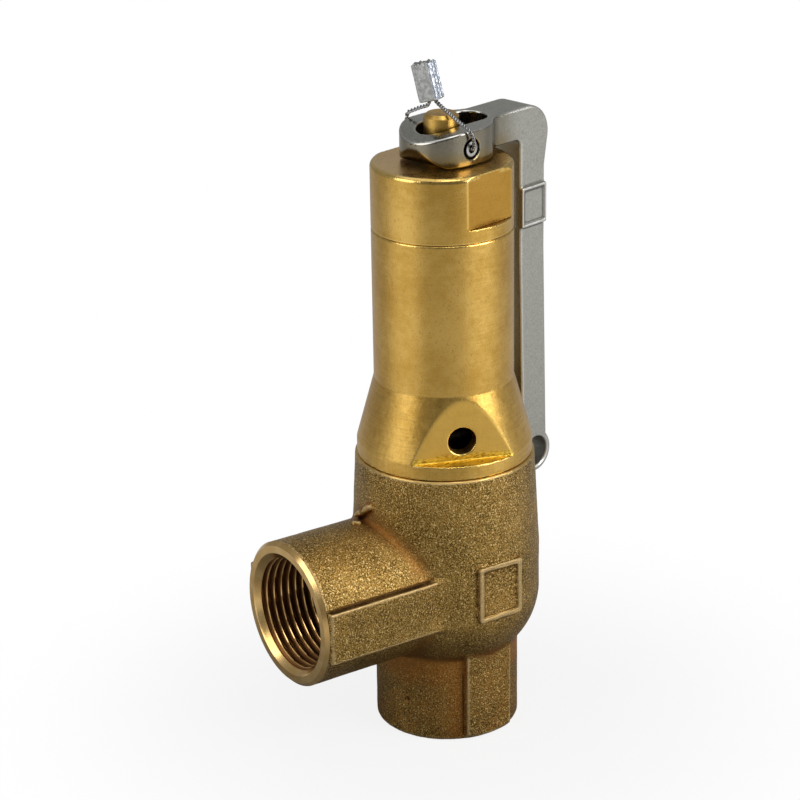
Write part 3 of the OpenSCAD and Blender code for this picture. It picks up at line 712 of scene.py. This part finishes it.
def casting_form(x, y, z):
    """Barrel with an ellipsoid for its base and a slight taper above, joined by fillets to inlet and
    outlet collars with flat pads; a wavy raised frame, two stubs and a pit; lumps taken off all over."""
    r, ro = np.hypot(x, y), np.hypot(y, z - OUTLET_Z)
    base_z, base_deep, taper_z, taper = 31.2, 18, 42, 0.0519
    deep = (z - base_z) / base_deep
    near = np.hypot(r / BARREL_R, deep)
    slope = np.hypot(r / BARREL_R ** 2, deep / base_deep) + 1e-9
    wall = r - BARREL_R + taper * np.maximum(z - taper_z, 0)
    barrel = both(np.where(z < base_z, near * (near - 1) / slope, wall), z - JOINT_Z, 0.45)

    pads = (-PAD_REACH, PAD_REACH)
    outlet = both(ro - OUTLET_R, between(x, -40.5, -4), 0.2)
    outlet_pads = brick(x, y, z, (-40.2, -10), pads, (OUTLET_Z - PAD_HALF, OUTLET_Z + PAD_HALF), 0.3)
    inlet = both(r - INLET_R, between(z, 0, 30), 0.6)
    inlet_pads = brick(x, y, z, (-PAD_HALF, PAD_HALF), pads, (0.3, 26), 0.3)
    inlet = both(either(inlet, inlet_pads, 0.12), (r - INLET_R - z) * math.sqrt(0.5), 0.3)
    body = either(either(barrel, either(outlet, outlet_pads, 0.12), 1.0), inlet, 0.5)

    wavy = 0.3 * lumps(x, y, z, 1.5)
    field = both(between(x, -5.75, 5.75), between(z, 30.1, 43.5), 0.9) + wavy
    field = both(field, between(y, -20.85, -17), 0.35)
    sunk = both(between(x, -4.5, 4.5), between(z, 31.35, 42.25), 0.4) + wavy
    sunk = both(sunk, y + 20.35, 0.3)
    body = either(body, both(field, -sunk, 0.3), 0.12)

    stub = near_line(x, y, z, (-20.5, 3.4, 51.5), (-20.1, -0.9, 54.3)) - 0.8
    body = either(body, stub + 0.7 * (lumps(x, y, z, 0.9) - 0.5), 0.3)
    crumb = near_line(x, y, z, (-23.0, 1.4, 50.8), (-22.2, 0.4, 50.9)) - 0.6
    body = either(body, crumb, 0.3)
    pit = near_line(x, y, z, (-14.9, -5.75, 8.7), (-14.9, -5.75, 8.8)) - 0.7
    body = both(body, -pit, 0.3)
    return body + 0.06 * lumps(x, y, z, 2.6) + 0.05 * lumps(x, y, z, 1.1)


def casting_distance(x, y, z):
    """The casting with its chamber, seats and passages cut out: each is a cylinder or cone about the
    valve axis or the outlet's axis, ended by a plane; the nozzle is left standing in the chamber."""
    r, ro = np.hypot(x, y), np.hypot(y, z - OUTLET_Z)
    nozzle = np.maximum(r - 9.8 + 0.15 * (z - 26), z - 36)
    hollow = np.maximum(np.maximum(r - 15, 27 - z), -nozzle)
    cuts = {"outlet thread": (ro - 14.3, x + 25.7),
            "outlet passage": (ro - 11.4, x + 10),
            "nozzle bore": (r - 6.5, 14 - z),
            "inlet thread": (r - 14.3, z - 15.5),
            "inlet cone": (r - 12.02 + 0.92 * (z - 15), 15 - z),
            "spigot seat": (r - 16.45, 50 - z),
            "gasket seat": (r - 17.5, 61.7 - z)}
    for wall, end in cuts.values():
        hollow = np.minimum(hollow, np.maximum(wall, end))
    return both(casting_form(x, y, z), -hollow, 0.3)


def threaded_mouth(outer, chamfer, inner):
    """Machined ring and thread: radius = root - (root - crest) ridge(along / pitch - turn), where ridge
    is a triangle wave with flattened tops, behind a plain 45 degree countersink in which the groove
    fades out; round it the face ring and chamfer, a plain wall behind. The last value is the depth
    of the groove, 0 on the crests and 1 in the roots."""
    turns, depth, rows_a_pitch, wall_r = 176, 15, 15, 14.0
    root_flat, flank = 0.14, 0.74
    fade_from, fade = 0.9, 1.2
    face_r, sink_r = 13.5, 13.45
    t = np.linspace(0, 1, turns, endpoint=False)
    along = np.linspace(0.1, depth, int(depth / THREAD_PITCH * rows_a_pitch))[:, None]
    wave = 1 - np.abs(2 * ((along / THREAD_PITCH - t) % 1) - 1)
    ridge = np.clip((wave - root_flat) / flank, 0, 1)
    groove = (1 - ridge) * np.clip((along - fade_from) / fade, 0, 1)
    bore = np.maximum(CREST_R + (ROOT_R - CREST_R) * groove, sink_r - along)
    flat = np.ones((1, turns))
    front = [(outer - 0.03, chamfer + 0.06), (outer, chamfer), (outer - chamfer, 0.0), (face_r, 0.0)]
    back = [(inner, depth + 0.05), (inner, depth + 0.6), (wall_r, depth + 0.6), (wall_r, chamfer + 0.3)]
    rows = [r * flat for r, _ in front] + [bore] + [r * flat for r, _ in back]
    deep = [[a] for _, a in front] + along.tolist() + [[a] for _, a in back]
    sunk = np.concatenate([0 * flat] * len(front) + [groove] + [flat] * len(back)).reshape(-1)
    return *ringed(np.concatenate(rows), np.array(deep)), sunk


# Bonnet and cap

def bonnet_distance(x, y, z):
    """Rim, cone and tube round the axis, with a neck above and a spigot below; a milled flat with the
    vent hole, and a stepped bore for the spring."""
    r = np.hypot(x, y)
    out, across = turned(x, y, VENT_TURN)
    flare_cos = 0.9643
    cone = (r - RIM_R + FLARE * (z - RIM_Z)) * flare_cos
    foot = np.maximum(both(r - RIM_R, JOINT_Z - z, 0.25), cone)
    shell = np.minimum(np.maximum(r - TUBE_R, 66 - z), foot)
    shell = both(shell, z - SEAM_Z, 0.32)
    shell = both(shell, either(out - VENT_FLAT, z - RIM_Z, 0.2), 0.2)
    neck = np.maximum(r - 11.95, between(z, 100, 118.8))
    spigot = np.maximum(r - 16.4, between(z, 53, 64.5))
    shell = np.minimum(np.minimum(shell, neck), spigot)
    spring_room = np.minimum(np.maximum(r - 12, z - 106), np.maximum(r - 13, z - 63))
    screw_hole = r - 7.95
    shell = both(shell, -np.minimum(spring_room, screw_hole), 0.3)
    vent = np.maximum(np.hypot(across, z - VENT_Z) - 3, -out)
    return both(shell, -vent, 0.3)


def cap_distance(x, y, z):
    """Round cap with a rolled top edge, two milled flats and the passage for the spindle."""
    r = np.hypot(x, y)
    across = turned(x, y, HEAD_TURN)[1]
    cap = both(both(r - TUBE_R, z - CAP_Z, 1.1), SEAM_Z - z, 0.32)
    cap = both(cap, either(np.abs(across) - CAP_FLAT, z - FLAT_Z, 0.12), 0.12)
    neck_room, passage = np.maximum(r - 12, z - 124.9), r - 4.1
    return both(cap, -np.minimum(neck_room, passage), 0.25)


# Lever, seal and wire

BEND = np.linspace(np.pi / 2, 0, 7)
ARM = [(3, 128.6), *zip(18 + 1.4 * np.cos(BEND), 127.2 + 1.4 * np.sin(BEND)), (19.4, 103),
       (20.4, 57.9), EYE, (28.2, 59.1), (27.2, 103), (27.2, 121.5), (28.15, 127.1),
       (21.9, 128.9), (21.9, HEAD_Z), (3, HEAD_Z)]


def lever_distance(x, y, z):
    """Cam head, oblong in plan, with a rounded crown and nose and a slot; bridge and hanging arm cut
    from a polygon in side view, with a round shoulder, an eye and a raised frame."""
    along, across = turned(x, y, HEAD_TURN)
    plan = np.hypot(along - np.clip(along, 0, 3), across) - 8.75
    back, below = -5.5 - along, PIN_Z - z
    nose = np.hypot(np.maximum(back, 0), np.maximum(below, 0)) - 3.5
    nose = nose + np.minimum(np.maximum(back, below), 0)
    heel = np.hypot(along - HEEL[0], z - HEEL[1]) - HEEL_R
    nose = np.maximum(nose, np.where((along < HEEL[0]) & (z < HEEL[1]), heel, -1e3))
    crown = np.where(along > 0, z - HEAD_Z, np.hypot(along, z - CROWN_Z) - CROWN_R)
    head = both(both(plan, crown, 0.42), nose, 0.3)

    eye = np.hypot(along - EYE[0], z - EYE[1])
    shoulder = np.maximum(np.hypot(along - 21.9, z - 128.9) - 6.5, 20 - along)
    side = np.minimum(outline(along, z, ARM), shoulder)
    side = np.minimum(side, eye - 4.75)
    lever = np.minimum(head, both(side, either(plan, np.abs(across) - 4.55, 1.8), 0.6))

    field = brick(along, across, z, (19.45, 27.15), (-5.15, -3), (109, 117.9), 0.3)
    sunk = brick(along, across, z, (20.1, 26.5), (-8, -4.8), (109.7, 117.2), 0.25)
    lever = either(lever, both(field, -sunk, 0.25), 0.3)
    slot = np.hypot(along - np.clip(along, -1.65, 7.9), across) - 4.1
    pin_hole = np.hypot(along, z - PIN_Z) - 2.15
    lever = both(both(lever, -slot, 0.4), -pin_hole, 0.3)
    return both(lever, EYE_R - eye, 0.5)


def tag_distance(x, y, z):
    """Crimped block: a brick under a top of two sine waves, with grooves by the cosine across one
    side and lumps all over."""
    u, v, w = seal_axes(x, y, z)
    top = 8.05 + 0.22 * np.sin(6.3 * u + 1) * np.cos(1.7 * v) + 0.12 * np.sin(3 * u) - w
    block = brick(u, v, w, (-2.2, 2.2), (-1.65, 1.65), (0.05, 9.5), 0.3)
    block = both(block, -top, 0.25)
    groove = 0.25 * np.clip(np.cos(2 * np.pi * v / 1.1), 0, 1) * np.clip((u - 1.6) / 0.4, 0, 1)
    return block + groove * 0.8 + 0.1 * (lumps(u, v, w, 0.9) - 0.5)


def wire_route():
    """Catmull-Rom curve through the wire's points, given along, across and above the pin: from the
    seal down to the pin's end, through the pin and up behind the head."""
    steps = 26
    knots = np.array([
        [-1.6, 0.4, 9.7], [-1.2, 0.2, 8.7], [-1.1, -1.2, 7.8], [-1.3, -4, 6.6], [-1.5, -6.8, 5.4],
        [-1.5, -8.7, 4.6], [-1.3, -9.5, 3.8], [-0.8, -9.65, 2.4], [-0.3, -9.55, 1.1],
        [0, -9.2, 0.3], [0, -8.4, 0], [0, -4, 0], [0, 0, 0], [0, 4, 0], [0, 8.4, 0], [0, 9.2, 0.3],
        [-0.1, 9.55, 1.1], [-0.3, 9.65, 2.5], [-0.4, 9.5, 3.9], [-0.5, 8.9, 4.8], [-0.8, 7, 5.7],
        [-1.3, 4.5, 6.8], [-1.9, 2.2, 7.7], [-2.3, 1.2, 8.7], [-2.4, 1, 9.7]])
    p = np.concatenate([knots[:1], knots, knots[-1:]])
    t = np.linspace(0, 1, steps, endpoint=False)[None, :, None]
    a, b, c, d = (p[k:len(p) - 3 + k, None] for k in range(4))
    curve = 0.5 * (2 * b + (c - a) * t + (2 * a - 5 * b + 4 * c - d) * t ** 2
                   + (3 * b - a - 3 * c + d) * t ** 3)
    return np.concatenate([curve.reshape(-1, 3), knots[-1:]])


def twisted_wire(strands, offset, radius, lay):
    """Strands wound about the wire's route at an offset, each a swept circle that turns once in every
    lay millimetres, looser towards the far end."""
    along, across, above = wire_route().T
    route = np.stack([*turned(along, across, -HEAD_TURN), above + PIN_Z], -1)
    pace = np.linalg.norm(np.gradient(route, axis=0), axis=-1)
    share = np.linspace(0, 1, len(route))
    looser = 1 + 0.8 * np.clip(share * 4 - 2, 0, 1)
    turns = np.cumsum(pace / lay / looser)
    side, up = sideways(route)
    points, faces = [], []
    for k in range(strands):
        angle = (2 * np.pi * (turns + k / strands))[:, None]
        strand = route + offset * (np.cos(angle) * side + np.sin(angle) * up)
        p, f = swept(strand, radius, sides=10)
        faces += [[i + len(p) * k for i in face] for face in f]
        points.append(p)
    return np.concatenate(points), faces


# Spring

def coil(foot, top, turns, closed, radius, wire):
    """Round wire wound as a helix from foot to top: the closed part of a turn at each end rises by
    little more than the wire's thickness a turn, the turns between share the rest evenly."""
    rings, sides, close = 420, 18, 2.94
    turn = np.linspace(0, turns, rings)
    low, high = foot + wire, top - wire
    pitch = (high - low - 2 * closed * close) / (turns - 2 * closed)
    rise = np.where(turn < closed, turn * close, np.where(
        turn > turns - closed, high - low - (turns - turn) * close,
        closed * close + (turn - closed) * pitch))
    t = 2 * np.pi * turn
    out = np.stack([np.cos(t), np.sin(t), 0 * t], -1)
    path = radius * out + (low + rise)[:, None] * UPWARD
    a = np.linspace(0, 2 * np.pi, sides, endpoint=False)[None, :, None]
    rows = path[:, None] + wire * (np.cos(a) * out[:, None] - np.sin(a) * UPWARD)
    return rows.reshape(-1, 3), wound(rows)


# Pieces

shape = skin(casting_distance, low=(-41.91, -22.11, -1.21), high=(21.6, 21.8, 64.2), cell=0.46,
             plain=([(-39.3, -27)], (), [(2, 13), (44.8, 49.2), (55.8, 60.8)]))
casting = piece("valve_casting", shape, BRONZE, "valve", ["valve_body"])
bend_marks(casting, shape, casting_form, reach=0.9, wide=5.0)

OUTLET_FACE = -41.3
points, faces, sunk = threaded_mouth(outer=15.88, chamfer=0.8, inner=11.4)
points = np.stack([points[:, 2] + OUTLET_FACE, points[:, 0], points[:, 1] + OUTLET_Z], -1)
mouth = piece("outlet_mouth", (points, faces), MOUTH, "valve")
stored(mouth, "sunk", sunk)

points, faces, sunk = threaded_mouth(outer=15.15, chamfer=0.05, inner=12.02)
mouth = piece("inlet_mouth", (points, faces), MOUTH, "valve")
stored(mouth, "sunk", sunk)

shape = skin(bonnet_distance, low=(-19.6, -19.6, 52.4), high=(19.6, 19.6, 119.6), cell=0.36,
             plain=((), (), [(53.8, 62.2), (82, 105), (107, 112.6), (114.4, 118)]))
bonnet = piece("bonnet_shell", shape, BRASS, "valve", ["bonnet"])
bend_marks(bonnet, shape, bonnet_distance, reach=0.4)

shape = skin(cap_distance, low=(-15.7, -15.7, 112.9), high=(15.7, 15.7, 128.4), cell=0.26)
cap = piece("cap_shell", shape, BRASS, "valve", ["cap"])
bend_marks(cap, shape, cap_distance, reach=0.5)

shape = skin(lever_distance, low=(-9.95, -10.05, 50.25), high=(30.6, 11.4, 136.4), cell=0.29)
lever = piece("lever_casting", shape, LEVER_STEEL, "lever", ["lever"])
bend_marks(lever, shape, lever_distance, reach=0.7)

shape = skin(tag_distance, low=(-6.5, -4.5, 138.5), high=(3.5, 5.5, 151), cell=0.13)
piece("seal_block", shape, SEAL, "stem", ["seal_tag"])

shape = twisted_wire(strands=2, offset=0.23, radius=0.225, lay=1.35)
piece("seal_strands", shape, WIRE_STEEL, "stem", ["seal_wire"])

shape = coil(foot=62, top=97, turns=7.5, closed=0.9, radius=8.9, wire=1.35)
spring = piece("load_spring", shape, SPRING_STEEL, "valve", ["spring"])
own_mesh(spring)

# Finishes of the pieces that keep their solids
OWN = {"cast_bronze": BRONZE, "turned_brass": STEM_BRASS, "cast_steel": LEVER_STEEL,
       "steel": PLAIN_STEEL, "spring_steel": SPRING_STEEL, "seal_metal": SEAL, "rubber": RUBBER}
for part in frame["record"]["subparts"]:
    solid = frame["nodes"][part["node"]]
    solid.data.materials.clear()
    solid.data.materials.append(PIN_STEEL if part["node"] == "lever_pin" else OWN[part["material_slot"]])


# Studio, in metres

VIEW_TURN = math.radians(-34.87)
VIEW_RISE = math.radians(21.88)
TOWARD = np.array([math.sin(VIEW_TURN), -math.cos(VIEW_TURN), 0])
RIGHTWARD = np.array([math.cos(VIEW_TURN), math.sin(VIEW_TURN), 0])
MIDDLE = np.array([0, 0, 0.07])


def staged(name, points, faces, material):
    """Object for the studio, linked like a piece but riding on no body of the valve."""
    made = linked(name, points, faces, material)
    return made


def pale_floor():
    """White floor: lit by the lamps, brightened to plain white for the camera away from the valve,
    and like a dark cloth close round it in reflections, with a bright card beyond on both sides."""
    f = Finish("pale_floor")
    x, y, _ = f.xyz()
    camera, mirror, glass = f.rays()
    away = far(x, y)
    ahead = (x * float(TOWARD[0]) + y * float(TOWARD[1])) / away
    right = (x * float(RIGHTWARD[0]) + y * float(RIGHTWARD[1])).step(-10, 60)
    card = ahead.within(-0.3, 0.3, 0.65, 0.92)
    seen = camera.most(glass) * (0.86 + away.step(25, 110) * 0.14)
    seen = seen + mirror * away.step(60, 180) * (0.28 + card * 0.72)
    cloth = mirror * away.fall(30, 150) * (0.75 - right * 0.6)
    lit = f.node("ShaderNodeBsdfDiffuse", None, {"Color": (0.62, 0.62, 0.62, 1)}).outputs[0]
    white, grey = f.glow((1, 1, 1, 1)), f.glow((0.05, 0.05, 0.05, 1))
    plain = f.node("ShaderNodeMixShader", None, {0: seen, 1: lit, 2: white}).outputs[0]
    return f.shown(f.node("ShaderNodeMixShader", None, {0: cloth, 1: plain, 2: grey}).outputs[0])


# Grey of the cloth by degrees round the valve, to the right of the view
CLOTH = [(-180, 0.34), (-150, 0.30), (-100, 0.30), (-75, 0.50), (-50, 0.48), (-30, 0.22), (0, 0.16),
         (30, 0.22), (50, 0.40), (75, 0.42), (100, 0.36), (130, 0.32), (155, 0.30), (180, 0.34)]


def tent(radius, height):
    """Round wall of cloth about the set, seen only in reflections: radius (toward cos t + right sin t)
    by height, its grey read from the table."""
    columns, rows = 72, 6
    t, h = np.meshgrid(np.linspace(-np.pi, np.pi, columns + 1)[:-1], np.linspace(0.0, height, rows),
                       indexing="ij")
    ring = np.cos(t)[..., None] * TOWARD + np.sin(t)[..., None] * RIGHTWARD
    points = (radius * ring + h[..., None] * UPWARD).reshape(-1, 3)
    i, k = np.meshgrid(np.arange(columns), np.arange(rows - 1), indexing="ij")
    here, beyond = i * rows + k, (i + 1) % columns * rows + k
    quads = np.stack([here, beyond, beyond + 1, here + 1], -1).reshape(-1, 4)
    f = Finish("grey_cloth")
    cloth = f.shown(f.glow(f.mixed(f.mark("grey"), (0, 0, 0), (1, 1, 1))))
    made = staged("studio_tent", points.tolist(), quads.tolist(), cloth)
    stored(made, "grey", np.interp(np.degrees(t).reshape(-1), *zip(*CLOTH)))
    made.visible_camera = False
    made.visible_shadow = False
    made.visible_diffuse = False


def lamp(name, angle, height, distance, wide, tall, watts):
    """Soft box aimed at the valve, at an angle to the right of the view."""
    light = bpy.data.lights.new(name, "AREA")
    light.shape = "RECTANGLE"
    light.size = wide
    light.size_y = tall
    light.energy = watts
    made = bpy.data.objects.new(name, light)
    t = math.radians(angle)
    place = distance * (math.cos(t) * TOWARD + math.sin(t) * RIGHTWARD) + height * UPWARD
    made.location = place.tolist()
    made.rotation_euler = Vector((MIDDLE - place).tolist()).to_track_quat("-Z", "Y").to_euler()
    made.visible_camera = False
    bpy.context.scene.collection.objects.link(made)


def white_sky():
    """White surroundings for the camera, reflections and glass, a fifth as strong for other light."""
    world = bpy.data.worlds.new("studio")
    bpy.context.scene.world = world
    w = Nodes(world)
    camera, mirror, glass = w.rays()
    strength = w.number("ShaderNodeMapRange", None, {
        "Value": camera.most(mirror).most(glass), "To Min": 0.2, "To Max": 1.0})
    sky = w.node("ShaderNodeBackground", None, {"Color": (1, 1, 1, 1), "Strength": strength})
    w.node("ShaderNodeOutputWorld", None, {"Surface": sky.outputs[0]})


def view(distance, aim_right, aim_up, roll, lens):
    """Camera as the photograph was taken: at a distance from the valve's middle, aimed a little
    beside it, to the right and up, and rolled by some degrees."""
    level = math.cos(VIEW_RISE)
    u = level * TOWARD + math.sin(VIEW_RISE) * UPWARD
    eye = MIDDLE + distance * u
    right = unit(np.cross(-u, UPWARD))
    up = np.cross(right, -u)
    ahead = unit(MIDDLE + aim_right * right + aim_up * up - eye)
    right = unit(np.cross(ahead, UPWARD))
    up = np.cross(right, ahead)
    c, s = math.cos(math.radians(roll)), math.sin(math.radians(roll))
    columns = np.column_stack([c * right + s * up, c * up - s * right, -ahead, eye])
    data = bpy.data.cameras.new("camera")
    data.lens = lens
    data.sensor_width = 36
    data.clip_start = 0.01
    camera = bpy.data.objects.new("camera", data)
    camera.matrix_world = Matrix(columns.tolist() + [[0, 0, 0, 1]])
    bpy.context.scene.collection.objects.link(camera)
    bpy.context.scene.camera = camera


staged("floor", [(-4, -4, 0), (4, -4, 0), (4, 4, 0), (-4, 4, 0)], [[0, 1, 2, 3]], pale_floor())
tent(radius=1.1, height=1.6)
lamp("left_softbox", angle=-62, height=0.41, distance=0.7, wide=0.45, tall=0.54, watts=1.7)
lamp("right_softbox", angle=66, height=0.38, distance=0.65, wide=0.45, tall=0.5, watts=3.9)
lamp("top_softbox", angle=25, height=1.0, distance=0.3, wide=0.3, tall=0.3, watts=0.8)
white_sky()
view(distance=0.55266, aim_right=-0.0095, aim_up=0.00395, roll=-0.97, lens=115.55)
bpy.context.scene.view_settings.view_transform = "Standard"
